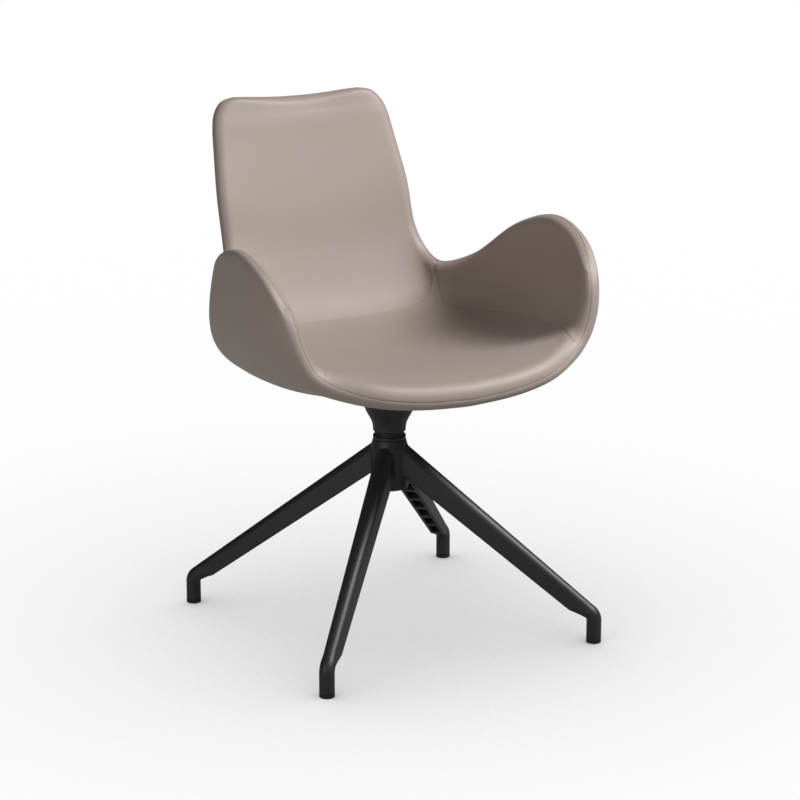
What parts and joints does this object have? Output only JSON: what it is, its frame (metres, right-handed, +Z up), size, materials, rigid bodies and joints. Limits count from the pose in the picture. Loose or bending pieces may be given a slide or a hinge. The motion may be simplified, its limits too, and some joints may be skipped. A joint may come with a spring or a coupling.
{
  "type": "swivel armchair",
  "caption": "Swivel armchair with an upholstered bucket shell, petal-shaped arms and a tapered back on a black cast base with sloping legs and glides.",
  "frame": {"origin": "middle of the chair's footprint on the floor; the swivel axis stands 39 mm in front of it", "axes": "+Z up along the swivel axis, the chair faces -Y, +X is on the right of someone facing the chair's front"},
  "size_m": [0.5962, 0.5836, 0.8086],
  "materials": {
    "leather": "smooth taupe leather, satin",
    "black_metal": "satin black powder coat on cast aluminium",
    "black_plastic": "matt black moulded plastic",
    "steel": "bright zinc-plated steel",
    "shell_plastic": "moulded structural plastic, hidden",
    "brass": "plain brass, hidden"
  },
  "bodies": {
    "base": {"base_casting": "black_metal", "glide_front_right": "black_plastic", "glide_rear_right": "black_plastic", "glide_rear_left": "black_plastic", "glide_front_left": "black_plastic", "lower_bush": "black_plastic", "upper_bush": "black_plastic", "thrust_washer": "steel", "hub_trim_ring": "black_metal", "hub_cap": "black_plastic"},
    "seat": {"swivel_bell": "black_metal", "spindle": "steel", "keeper_washer": "steel", "keeper_screw": "steel", "shell_screws": "steel", "shell_inserts": "brass", "shell_core": "shell_plastic", "outer_cover": "leather", "seat_back_pad": "leather", "arm_pad_left": "leather", "arm_pad_right": "leather"}
  },
  "joints": [
    {"name": "seat_swivel", "type": "hinge", "parent": "base", "child": "seat", "pos_m": [0, -0.039, 0.3], "axis": [0, 0, 1], "continuous": true}
  ]
}
